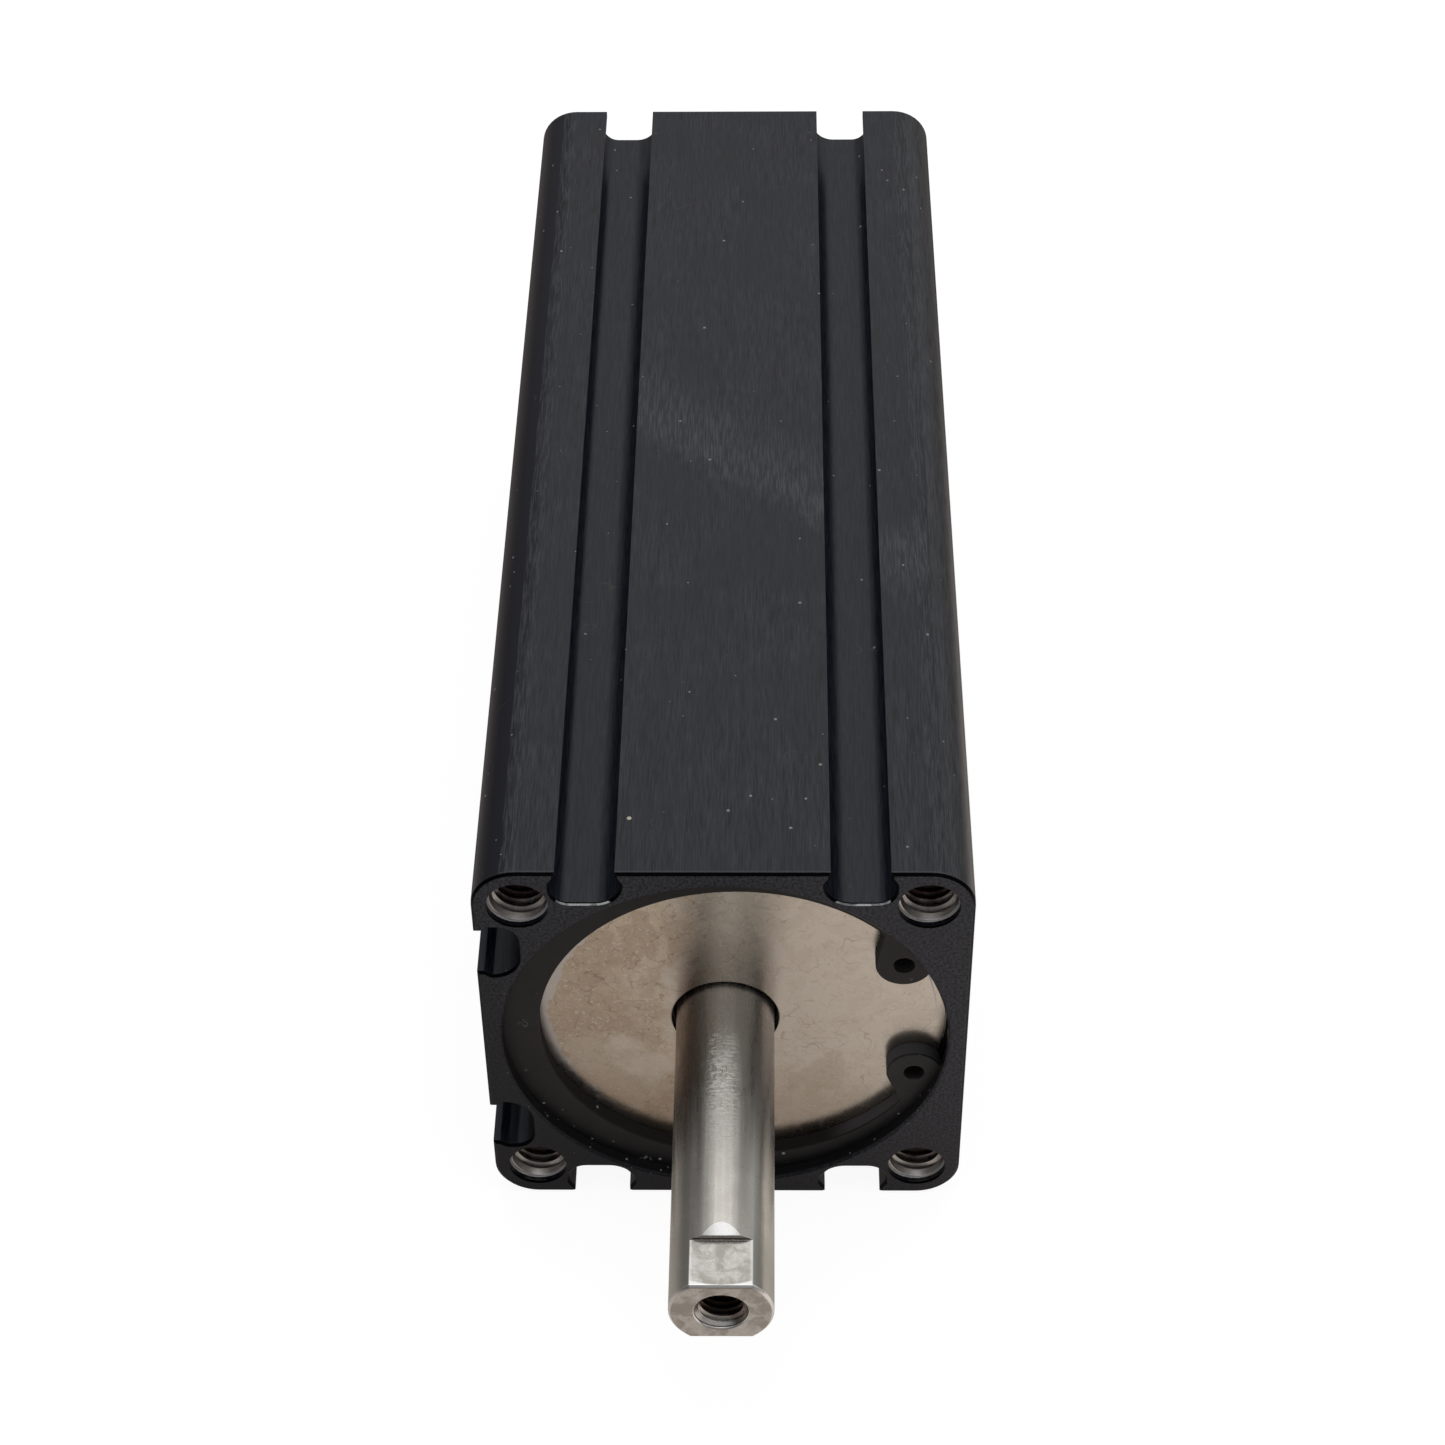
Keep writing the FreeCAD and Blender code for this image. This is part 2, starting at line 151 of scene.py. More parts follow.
def soften(node, width):
    """Puts a copy with small rounds on its sharp edges in the place of a CAD node."""
    piece = add_object(node + "_softened", frame["nodes"][node].data.copy())
    select_only(piece)
    bpy.ops.object.mode_set(mode="EDIT")
    bpy.ops.mesh.select_all(action="SELECT")
    bpy.ops.mesh.remove_doubles(threshold=0.001 * mm)
    bpy.ops.mesh.dissolve_limited(angle_limit=math.radians(0.5))
    bpy.ops.mesh.faces_shade_smooth()
    bpy.ops.object.mode_set(mode="OBJECT")
    rounds = piece.modifiers.new("rounds", "BEVEL")
    rounds.width = width
    rounds.segments = 2
    rounds.limit_method = "ANGLE"
    rounds.angle_limit = math.radians(28)
    normals = piece.modifiers.new("normals", "WEIGHTED_NORMAL")
    normals.weight = 50
    apply_modifiers(piece)
    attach(piece, body_of_node[node])
    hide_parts(node)
    shown[node] = piece
    print(node, "now has", len(piece.data.polygons), "faces")


for node, width in (("cylinder_tube", 0.10), ("rod_cover", 0.10), ("head_cover", 0.10),
                    ("front_retaining_ring", 0.12), ("rear_retaining_ring", 0.12),
                    ("piston_rod", 0.06)):
    soften(node, width * mm)

# %% [markdown]
# ## Screw threads
#
# The CAD holes are plain and as wide as the root of their thread. The thread itself is a thin
# liner in each hole. First a tap is made: one pitch of the thread's outline is drawn by
# extruding a single point four times, and a Screw modifier winds it up into a right-handed
# helix. Two bisect cuts close its ends. The tap is then taken out of a round sleeve, and a cone
# opens the mouth so that the first turn fades in, as a countersink leaves it.

# %% Tap
crest_share, root_share, flank_share = 0.25, 0.125, 0.3125     # of the pitch, along the axis
thread_height = 0.5413                                         # of the pitch, across it


def cut_off(height, outward):
    """Cuts the mesh in edit mode across its axis and caps the cut. outward is 1 or -1."""
    bpy.ops.mesh.select_all(action="SELECT")
    bpy.ops.mesh.bisect(plane_co=(0, 0, height), plane_no=(0, 0, outward), use_fill=True,
                        clear_outer=True)


def make_tap(root_radius, pitch, length):
    """A closed right-handed screw that ends at z = 0 and reaches down to z = -length."""
    bpy.ops.object.select_all(action="DESELECT")
    bpy.ops.mesh.primitive_plane_add(size=pitch)
    tap = bpy.context.object
    bpy.ops.object.mode_set(mode="EDIT")
    bpy.ops.mesh.merge(type="CENTER")
    crest_radius = root_radius - thread_height * pitch
    bpy.ops.transform.translate(value=(crest_radius, 0, -length - 2 * pitch))
    rise = root_radius - crest_radius
    outline = ((0, crest_share), (rise, flank_share), (0, root_share), (-rise, flank_share))
    for out, along in outline:
        step = {"value": (out, 0, along * pitch)}
        bpy.ops.mesh.extrude_region_move(TRANSFORM_OT_translate=step)
    bpy.ops.object.mode_set(mode="OBJECT")
    winding = tap.modifiers.new("winding", "SCREW")
    winding.screw_offset = pitch
    winding.iterations = math.ceil(length / pitch) + 3
    winding.steps = winding.render_steps = 48
    apply_modifiers(tap)
    bpy.ops.object.mode_set(mode="EDIT")
    bpy.ops.mesh.select_all(action="SELECT")
    bpy.ops.mesh.remove_doubles(threshold=0.001 * mm)
    cut_off(0, 1)
    cut_off(-length, -1)
    bpy.ops.mesh.select_all(action="SELECT")
    bpy.ops.mesh.normals_make_consistent(inside=False)
    bpy.ops.object.mode_set(mode="OBJECT")
    return tap


# %% Thread liner
def cut_away(piece, tool):
    """Takes the tool's shape out of the piece and deletes the tool."""
    cut = piece.modifiers.new("cut", "BOOLEAN")
    cut.object = tool
    cut.operation = "DIFFERENCE"
    cut.solver = "EXACT"
    apply_modifiers(piece)
    bpy.data.objects.remove(tool)


def make_liner(hole_radius, pitch, length, mouth_depth):
    """A sleeve with a thread inside. Its mouth is at z = 0, and it reaches down to z = -length."""
    clearance, overlap = 0.05 * mm, 0.01 * mm
    mouth_step = thread_height * pitch + clearance
    tap = make_tap(hole_radius - clearance, pitch, length + pitch)
    tap.data.transform(Matrix.Translation((0, 0, pitch / 2)))
    bpy.ops.mesh.primitive_cylinder_add(vertices=96, radius=hole_radius + overlap, depth=length,
                                        location=(0, 0, -length / 2))
    liner = bpy.context.object
    bpy.ops.object.transform_apply()
    cut_away(liner, tap)
    bpy.ops.mesh.primitive_cone_add(vertices=96, radius1=hole_radius - 1.1 * mouth_step,
                                    radius2=hole_radius + 0.1 * mouth_step,
                                    depth=1.2 * mouth_depth, location=(0, 0, -0.5 * mouth_depth))
    cone = bpy.context.object
    bpy.ops.object.transform_apply()
    cut_away(liner, cone)
    select_only(liner)
    bpy.ops.object.shade_smooth_by_angle(angle=math.radians(25))
    return liner


def place_liner(liner, name, mouth, outward, body):
    """Copies a liner to a hole, with its mouth at the given point and facing outward."""
    copy = add_object(name, liner.data.copy())
    turn = Vector(outward).to_track_quat("Z", "Y").to_matrix().to_4x4()
    copy.data.transform(Matrix.Translation(mouth) @ turn)
    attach(copy, body)
    return copy


# %% Corner threads
corner_recess = 0.8 * mm                            # from the end face to the liner's mouth
threads = []
corner = mounts["front_corner_threads"]["dims"]
half_spacing = corner["spacing_x_mm"] * mm / 2
liner = make_liner(corner["hole_r_mm"] * mm, pitch=1.0 * mm, length=12 * mm, mouth_depth=1.3 * mm)
for end in ("front", "rear"):
    mount = mounts[end + "_corner_threads"]
    outward = Vector(mount["axis"])
    face_middle = Vector(mount["pos_m"]) - corner_recess * outward
    for x_side, x_name in ((-1, "left"), (1, "right")):
        for z_side, z_name in ((-1, "low"), (1, "high")):
            mouth = face_middle + Vector((x_side * half_spacing, 0, z_side * half_spacing))
            threads.append(place_liner(liner, f"corner_thread_{end}_{x_name}_{z_name}", mouth,
                                       outward, "cylinder"))
bpy.data.objects.remove(liner)
print(len(threads), "corner threads, each with", len(threads[0].data.polygons), "faces")

# %% [markdown]
# The rod's end and the two ports have a finer pitch and a liner each. There the cut leaves no
# closed sleeve: the threaded wall stays, open at its mouth, and a flat floor closes its deep
# end. In the rod that shows little, but in a port it stands across the passage into the bore.

# %% Threads of the rod and the ports
small_recess = 0.3 * mm
for name, body, slot_name, depth in (("rod_end_thread", "rod", "rod_steel", 10 * mm),
                                     ("front_port", "cylinder", "black_anodised", 3.9 * mm),
                                     ("rear_port", "cylinder", "black_anodised", 3.9 * mm)):
    mount = mounts[name]
    liner = make_liner(mount["dims"]["r_mm"] * mm, pitch=0.8 * mm, length=depth,
                       mouth_depth=0.6 * mm)
    outward = Vector(mount["axis"])
    mouth = Vector(mount["pos_m"]) - small_recess * outward
    threads.append(place_liner(liner, name + "_turns", mouth, outward, body))
    bpy.data.objects.remove(liner)
print(len(threads), "threads in all")

# %% [markdown]
# ## Helpers for shader nodes
#
# Every finish below is a small node tree. Building trees by hand takes three lines a node, so
# one helper adds a node, sets its options and fills its inputs. An input can be a number, a
# colour, or the output of another node, which is then linked. An output knows the tree that it
# is in, as its id_data, so the new node goes there too. A finish is mostly masks and layers:
# masks are multiplied or compared, and each layer of colour lies over the last one where its
# mask says so.

# %% Node helpers
def is_output(value):
    """Tells the output of a node from a plain number or colour."""
    return isinstance(value, bpy.types.NodeSocket)


def add_node(kind, inputs=None, tree=None, **settings):
    """Adds a node to the tree of the nodes that feed it, or to the given one. Returns the node."""
    inputs = inputs or {}
    tree = tree or next(value.id_data for value in inputs.values() if is_output(value))
    node = tree.nodes.new(kind)
    for name, value in settings.items():
        setattr(node, name, value)
    for name, value in inputs.items():
        if is_output(value):
            tree.links.new(value, node.inputs[name])
        else:
            node.inputs[name].default_value = value
    return node


def maths(operation, *values, clamp=False):
    """One Math node. Returns its output."""
    return add_node("ShaderNodeMath", dict(enumerate(values)), operation=operation,
                    use_clamp=clamp).outputs[0]


def product(first, *others):
    """Multiplies values. Returns the product."""
    for other in others:
        first = maths("MULTIPLY", first, other)
    return first


def largest(first, *others):
    """Compares values. Returns the largest."""
    for other in others:
        first = maths("MAXIMUM", first, other)
    return first


def inverse(mask):
    """Turns a mask round: 1 where it is 0, and 0 where it is 1."""
    return maths("SUBTRACT", 1.0, mask)


def ramped(value, low, high, start=0.0, end=1.0):
    """Maps low..high to start..end with soft ends and holds it there. Returns the result."""
    return add_node("ShaderNodeMapRange", {0: value, 1: low, 2: high, 3: start, 4: end},
                    interpolation_type="SMOOTHSTEP").outputs[0]


def noise(place, size=1.0, detail=2.0, roughness=0.5):
    """Noise whose features are about size long, in the units of place. Returns the grey value."""
    inputs = {"Vector": place, "Scale": 1 / size, "Detail": detail, "Roughness": roughness}
    return add_node("ShaderNodeTexNoise", inputs).outputs["Fac"]


# %% Mixing helpers
def blended(factor, first, second):
    """Mixes two values. Returns the mixed value."""
    return add_node("ShaderNodeMix", {0: factor, 2: first, 3: second}).outputs[0]


def mixed(factor, first, second):
    """Mixes two colours. Returns the mixed colour."""
    first, second = (tone if is_output(tone) else (*tone, 1) for tone in (first, second))
    return add_node("ShaderNodeMix", {0: factor, 6: first, 7: second}, data_type="RGBA").outputs[2]


def layered(color, *layers):
    """Lays colours over a colour. A layer is its mask, how much it covers there, and its tone."""
    for mask, share, tone in layers:
        color = mixed(product(mask, share), color, tone)
    return color


# %% [markdown]
# ## Shared effects as node groups
#
# Several finishes here need the same effects: fine streaks from brushing or turning, soft
# patches where oil and handling changed the surface, thin scratches, and dust. Each is a node
# group with named sockets, built once and used in each material with its own values. All of
# them work in millimetres of the object's own space, so a speck keeps its size on every piece.

# %% Group maker and placer
def new_group(name, inputs, output):
    """A node group with one value as its output. Returns the tree and its input sockets."""
    tree = bpy.data.node_groups.new(name, "ShaderNodeTree")
    for socket_name, value in inputs.items():
        kind = "NodeSocketVector" if value is None else "NodeSocketFloat"
        socket = tree.interface.new_socket(name=socket_name, in_out="INPUT", socket_type=kind)
        if value is not None:
            socket.default_value = value
    tree.interface.new_socket(name=output, in_out="OUTPUT", socket_type="NodeSocketFloat")
    return tree, tree.nodes.new("NodeGroupInput").outputs


def close_group(result):
    """Links the result to the group's output."""
    add_node("NodeGroupOutput", {0: result})


def effect(group, place, **values):
    """Places a node group in a material. Returns its output."""
    return add_node("ShaderNodeGroup", {"Place": place, **values}, node_tree=group).outputs[0]


# %% Streaks
streaks, given = new_group("streaks", {"Place": None, "Along X": 1.0, "Along Y": 1.0,
                                       "Along Z": 1.0}, "Streaks")
lengths = add_node("ShaderNodeCombineXYZ",
                   {"X": given["Along X"], "Y": given["Along Y"], "Z": given["Along Z"]}).outputs[0]
squeezed = add_node("ShaderNodeVectorMath", {0: given["Place"], 1: lengths},
                    operation="DIVIDE").outputs[0]
close_group(ramped(noise(squeezed, 1, 2, 0.6), 0.36, 0.64))


def streaked(place, x, y, z):
    """Places the streaks, which are about x, y and z millimetres long along the three axes."""
    return effect(streaks, place, **{"Along X": x, "Along Y": y, "Along Z": z})


# %% Patches
patches, given = new_group("patches", {"Place": None, "Size": 5.0, "Softness": 0.15}, "Patches")
across = maths("DIVIDE", 1.0, given["Size"])
cloud = add_node("ShaderNodeTexNoise",
                 {"Vector": given["Place"], "Scale": across, "Detail": 5.0, "Roughness": 0.62,
                  "Distortion": 0.6}).outputs["Fac"]
low = maths("SUBTRACT", 0.5, given["Softness"])
high = maths("ADD", 0.5, given["Softness"])
close_group(ramped(cloud, low, high))

# %% Scratches
scratches, given = new_group("scratches", {"Place": None, "Size": 3.0, "Width": 0.01,
                                           "Share": 0.5}, "Scratches")
across = maths("DIVIDE", 1.0, given["Size"])
wander = add_node("ShaderNodeTexNoise",
                  {"Vector": given["Place"], "Scale": across, "Detail": 1.0, "Roughness": 0.5})
from_line = maths("SUBTRACT", wander.outputs["Fac"], 0.5)
line = ramped(maths("ABSOLUTE", from_line), 0.0, given["Width"], 1.0, 0.0)
where = add_node("ShaderNodeTexNoise",
                 {"Vector": given["Place"], "Scale": maths("MULTIPLY", across, 1.7), "Detail": 2.0,
                  "W": 7.0}, noise_dimensions="4D").outputs["Fac"]
limit = maths("SUBTRACT", 1.0, given["Share"])
kept = ramped(where, limit, maths("ADD", limit, 0.06))
close_group(product(line, kept))

# %% Dust
dust, given = new_group("dust", {"Place": None, "Cell": 2.0, "Share": 0.3, "Speck": 0.05}, "Dust")
across = maths("DIVIDE", 1.0, given["Cell"])
ragged = add_node("ShaderNodeTexNoise", {"Vector": given["Place"], "Scale": 9.0, "Detail": 1.0})
shifted = add_node("ShaderNodeVectorMath",
                   {0: ragged.outputs["Color"], 1: (0.16, 0.16, 0.16), 2: given["Place"]},
                   operation="MULTIPLY_ADD")
cells = add_node("ShaderNodeTexVoronoi", {"Vector": shifted.outputs[0], "Scale": across})
chance = add_node("ShaderNodeSeparateColor", {0: cells.outputs["Color"]})
size = product(given["Speck"], ramped(chance.outputs["Green"], 0.2, 1.0, 0.4, 1.0))
from_middle = maths("DIVIDE", cells.outputs["Distance"], size)
chosen = maths("LESS_THAN", chance.outputs["Red"], given["Share"])
close_group(product(ramped(from_middle, 0.7, 1.0, 1.0, 0.0), chosen))
print("groups:", [group.name for group in bpy.data.node_groups])

# %% [markdown]
# ## Making a material
#
# Every finish is one Principled shader whose colour, roughness and bump come from nodes. Three
# small helpers make it, link its results and give it to the pieces of some nodes. Patterns sit
# on Object coordinates, in millimetres, because every piece has its place in its mesh: a
# pattern stays where it is on the metal when the piece moves. Masks come from distances, such
# as the one from the tube's axis, from its end faces or from a given point.

# %% Material maker
def new_finish(name, base_color, metallic, roughness):
    """A material with one Principled shader. Returns both."""
    material = bpy.data.materials.new(name)
    material.use_nodes = True
    shader = material.node_tree.nodes["Principled BSDF"]
    shader.inputs["Base Color"].default_value = (*base_color, 1)
    shader.inputs["Metallic"].default_value = metallic
    shader.inputs["Roughness"].default_value = roughness
    return material, shader


def feed(shader, **results):
    """Links results to the shader's sockets. Height goes through a Bump node."""
    links = shader.id_data.links
    for name, value in results.items():
        if name == "Height":
            bump = add_node("ShaderNodeBump", {"Height": value, "Distance": results["Depth"]})
            links.new(bump.outputs[0], shader.inputs["Normal"])
        elif name != "Depth":
            links.new(value, shader.inputs[name.replace("_", " ")])


def dress(material, *nodes):
    """Gives a material to the pieces that show these nodes."""
    for node in nodes:
        shown[node].material_slots[0].material = material
    print(material.name, "on", ", ".join(nodes))


# %% Where a point is
def where_in_mm(tree):
    """Object coordinates in millimetres, as a vector and as its three parts."""
    place = add_node("ShaderNodeTexCoord", tree=tree).outputs["Object"]
    place = add_node("ShaderNodeVectorMath", {0: place, "Scale": 1 / mm}, operation="SCALE")
    parts = add_node("ShaderNodeSeparateXYZ", {0: place.outputs[0]})
    return place.outputs[0], parts.outputs[0], parts.outputs[1], parts.outputs[2]


def from_axis(x, z, axis_x=0.0, axis_z=0.0):
    """How far a point is from a line along the tube, in millimetres."""
    across = maths("SUBTRACT", x, axis_x)
    above = maths("SUBTRACT", z, axis_z)
    return maths("SQRT", maths("MULTIPLY_ADD", across, across, product(above, above)))


def from_ends(y):
    """How far a point is from the nearer end face of the tube, in millimetres."""
    return maths("MINIMUM", maths("SUBTRACT", y, front / mm), maths("SUBTRACT", rear / mm, y))


def near(place, point, reach):
    """1 round one point, falling to 0 at its reach."""
    away = add_node("ShaderNodeVectorMath", {0: place, 1: point}, operation="DISTANCE")
    return ramped(away.outputs["Value"], 0.75 * reach, reach, 1.0, 0.0)


# %% [markdown]
# ## Black anodised tube
#
# The tube is an aluminium extrusion, brushed lengthwise and then anodised black. Anodising
# leaves almost no colour of its own: what the eye sees on it is the room, mirrored weakly. So
# the base colour is nearly black, and much of the finish lives in the roughness: streaked on
# the outer lands, smoother in the slots and the bore, matt on the milled ends. Use has marked
# it in places. The right corner is rubbed pale, while the left one is painted nearly black, as
# painted shade. A hand has dulled a band across the top. A thin pale line along the front edge
# is a painted highlight, and the end faces are painted lighter towards the upper right and
# darker low down, as painted reflection and shade. The lips of the slots are bare where
# sensors are pushed in, and dust lies on the lands and low in the bore.
# One material does all of this, so that its patterns run on from face to face. The first cell
# makes a mask for each part of the surface, the next ones give each part its colour, and the
# last one puts them together.

# %% Places on the tube
def tube_places(tree):
    """Where a point of the tube is, and a mask for each part of its surface."""
    place, x, y, z = where_in_mm(tree)
    aside, aloft, edge = maths("ABSOLUTE", x), maths("ABSOLUTE", z), half_width / mm
    outward, inward = maths("MAXIMUM", aside, aloft), maths("MINIMUM", aside, aloft)
    radius, from_end = from_axis(x, z), from_ends(y)
    rounded = ramped(inward, edge - 3.0, edge - 2.8)
    on_side = ramped(from_end, 0.28, 0.34)
    inside = product(maths("LESS_THAN", outward, edge - 0.15), maths("LESS_THAN", radius, 30.0))
    in_bore = maths("LESS_THAN", radius, seat_radius / mm + 0.4)
    on_flat = product(on_side, inverse(inside), inverse(rounded))

    # the rounds on the edges of the end faces, and the part of them on a slot's floor
    bevel = product(maths("COMPARE", from_end, 0.16, 0.13),
                    maths("GREATER_THAN", radius, seat_radius / mm + 0.7))
    beside = maths("SUBTRACT", aside, slot_middle / mm)
    reach = ramped(beside, 1.4, 2.4, 0.30, 1.0)
    slot_lip = product(bevel, maths("COMPARE", z, slot_floor / mm, reach),
                       maths("COMPARE", beside, 0.0, 2.9), maths("COMPARE", from_end, 0.13, 0.075))
    return SimpleNamespace(place=place, x=x, y=y, z=z, inward=inward, from_end=from_end,
                           rounded=rounded, on_side=on_side, inside=inside, in_bore=in_bore,
                           on_flat=on_flat, bevel=bevel, slot_lip=slot_lip)


# %% Brushed outside of the tube
def dulled_places(tube, fine):
    """A slanting band across the top, and a place right of it, that much handling has dulled."""
    slant = maths("ADD", maths("MULTIPLY_ADD", tube.x, 0.80, tube.y),
                  product(noise(tube.place, 3.0), 9.0))
    band = product(ramped(slant, 62.5, 67.0), ramped(slant, 67.0, 82.0, 1.0, 0.0),
                   maths("COMPARE", tube.x, 0.0, 13.0))
    from_spot = maths("ABSOLUTE", maths("SUBTRACT", tube.y, 47.0))
    spot = product(ramped(from_spot, 1.0, 7.0, 1.0, 0.0), maths("GREATER_THAN", tube.x, 13.0))
    return product(largest(band, spot), maths("GREATER_THAN", tube.z, 24.0),
                   ramped(fine, 0.30, 1.00, 0.20, 1.0))


def outside_color(tube, fine, brushed):
    """The colour of the flat lands and of the rounded corners between them."""
    scuffs = effect(patches, tube.place, Size=11.0, Softness=0.10)
    rubbed = product(ramped(fine, 0.55, 0.85),
                     maths("COMPARE", tube.inward, half_width / mm - 3.7, 0.8))
    # painted highlight: a thin pale line along the front edge of the lands
    painted_edge_highlight = product(maths("COMPARE", tube.from_end, 0.42, 0.09), tube.on_flat)
    color = mixed(brushed, (0.0000, 0.0000, 0.0020), (0.0430, 0.0430, 0.0550))
    color = layered(color, (scuffs, 0.35, (0.012, 0.0125, 0.017)),
                    (rubbed, 0.50, (0.060, 0.062, 0.066)),
                    (dulled_places(tube, fine), 0.48, (0.105, 0.108, 0.116)),
                    (painted_edge_highlight, 0.50, (0.070, 0.071, 0.078)))
    right_corner = mixed(fine, (0.022, 0.023, 0.026), (0.052, 0.053, 0.058))
    # painted shade: the left corner is painted nearly black, the right one has pale rubbed streaks
    corner = mixed(ramped(tube.x, -6, 6), (0.0050, 0.0050, 0.0120), right_corner)
    return mixed(tube.rounded, color, corner)


# %% Ends and slots of the tube
def end_color(tube):
    """The milled end faces: grainy, painted lighter to the upper right and darker low down."""
    grain = ramped(noise(tube.place, 0.30, 3, 0.7), 0.35, 0.65)
    # painted reflection and shade: lighter towards the upper right, darker low down
    painted_reflection = ramped(maths("MULTIPLY_ADD", tube.x, 0.6, tube.z), -34, 18, 0.15, 1.1)
    return mixed(product(grain, painted_reflection), (0.0040, 0.0040, 0.0075), (0.0600, 0.0585, 0.0720))


def inside_color(tube, fine):
    """The colour of the slots and of the bore."""
    color = mixed(fine, (0.0040, 0.0050, 0.0120), (0.0170, 0.0185, 0.0270))
    return mixed(tube.in_bore, color, (0.0150, 0.0145, 0.0165))


def dirt_layers(tube, specks):
    """Colour layers for scratches, nicks and dust, one crumb among it."""
    nick_by_hole, nick_in_slot, crumb = (23.1, 0.0, 14.8), (-14.6, 39.7, 20.3), (-9.2, 7.6, 24.5)
    marks = effect(scratches, tube.place, Size=9.0, Width=0.004, Share=0.42)
    ticks = product(effect(scratches, tube.place, Size=0.8, Width=0.05, Share=0.9),
                    largest(near(tube.place, nick_by_hole, 0.9),
                            near(tube.place, nick_in_slot, 1.3)))
    flecks = product(effect(dust, tube.place, Cell=0.9, Share=0.45, Speck=0.18), tube.in_bore,
                     ramped(tube.z, -9, -3, 1.0, 0.0))
    return ((largest(marks, ticks), 0.50, (0.06, 0.06, 0.06)),
            (specks, 0.70, (0.45, 0.45, 0.43)),
            (near(tube.place, crumb, 0.26), 1.00, (0.62, 0.58, 0.45)),
            (flecks, 0.80, (0.60, 0.60, 0.57)))


# %% Anodised finish
def anodised_finish():
    material, shader = new_finish("black_anodised", (0.004, 0.004, 0.008), 0.0, 0.36)
    shader.inputs["Specular IOR Level"].default_value = 0.35
    shader.inputs["Specular Tint"].default_value = (0.93, 0.96, 1.0, 1.0)
    tube = tube_places(material.node_tree)
    fine = streaked(tube.place, 0.17, 3.0, 0.17)
    coarse = streaked(tube.place, 0.7, 12.0, 0.7)
    brushed = product(maths("ADD", product(fine, 0.7), product(coarse, 0.3)), tube.on_flat)
    specks = effect(dust, tube.place, Cell=2.2, Share=0.75, Speck=0.085)
    color = mixed(tube.inside, outside_color(tube, fine, brushed), inside_color(tube, fine))
    color = mixed(tube.on_side, end_color(tube), color)
    color = layered(color, *dirt_layers(tube, specks), (tube.bevel, 1.00, (0.006, 0.006, 0.007)))
    wear_and_sheen = effect(patches, tube.place, Size=1.6, Softness=0.08)
    bare = mixed(wear_and_sheen, (0.20, 0.205, 0.215), (0.72, 0.73, 0.74))
    color = mixed(tube.slot_lip, color, bare)
    rough = blended(tube.inside, ramped(brushed, 0.0, 1.0, 0.32, 0.50), 0.30)
    rough = blended(tube.on_side, 0.42, rough)
    rough = maths("ADD", rough, product(specks, 0.4), clamp=True)
    metal = product(tube.bevel, inverse(tube.slot_lip))
    feed(shader, Base_Color=color, Roughness=rough, Metallic=metal, Height=brushed,
         Depth=0.002 * mm)
    return material


black_anodised = anodised_finish()
dress(black_anodised, "cylinder_tube")

# %% [markdown]
# ## Covers
#
# The cover is turned from aluminium and passivated in a warm champagne tone. It is smooth
# enough to mirror the rod softly, and it has aged: a brown film with darker spots and thin
# wandering fibres lies over most of it, and one place is wiped clean. Some light is painted
# on too: pale curls in the film are painted glints along fine scratches, a pale grey rim along
# the ring on the left and a bright edge along the top of the ring are painted highlights, and
# the metal above the rod is painted lighter against the rod's dark mirrored image. Each of
# these is a mask with a tone of its own, and the finish lays them over the plain metal one by
# one. The film's spots have given middles. A slow noise moves every point by about 4.5 mm
# along each axis first, so that they get uneven shores, and the middles below are moved by as
# much.

# %% Stains on a cover
def cover_stains(place, x, radius):
    """Masks for the brown film on a cover and for the darkest spots in it."""
    spread = maths("SUBTRACT", product(noise(place, 6.5, 5, 0.6), 40.0), x)
    shift = add_node("ShaderNodeTexNoise", {"Vector": place, "Scale": 0.35, "Detail": 4.0})
    moved = add_node("ShaderNodeVectorMath", {0: shift.outputs["Color"], 1: (9, 9, 9), 2: place},
                     operation="MULTIPLY_ADD").outputs[0]
    wiped = near(moved, (-7.5, 7.7, -4.5), 7.0)
    film = product(ramped(spread, 20.0, 24.0), ramped(radius, 5.8, 7.6), inverse(wiped))
    spots = largest(ramped(spread, 27.0, 33.0), near(moved, (-4.0, 7.7, 16.5), 3.2),
                    near(moved, (-10.5, 7.7, 3.6), 2.6), near(moved, (0.5, 7.7, -8.0), 3.4),
                    product(near(moved, (14.5, 7.7, -4.5), 3.6), 0.6))
    return film, spots


def cover_rims(place, x, z):
    """Masks for a pale rim on the left and a bright edge above, both along the ring: painted
    highlights.
    """
    from_ring = maths("SUBTRACT", hollow_radius / mm, from_axis(x, z, hollow_x / mm, hollow_z / mm))
    ragged = maths("MULTIPLY_ADD", noise(place, 2.0, 3, 0.6), 2.4, -0.2)
    past_rim = maths("SUBTRACT", from_ring, ragged)
    # painted highlight: a pale ragged band along the ring on the left, and a thin bright edge along
    # its top
    wear_and_sheen = product(ramped(past_rim, 0.0, 0.25, 1.0, 0.0), ramped(x, -12, -4, 1.0, 0.0))
    bright = product(maths("COMPARE", from_ring, 0.03, 0.07), ramped(z, -2, 6))
    return wear_and_sheen, bright


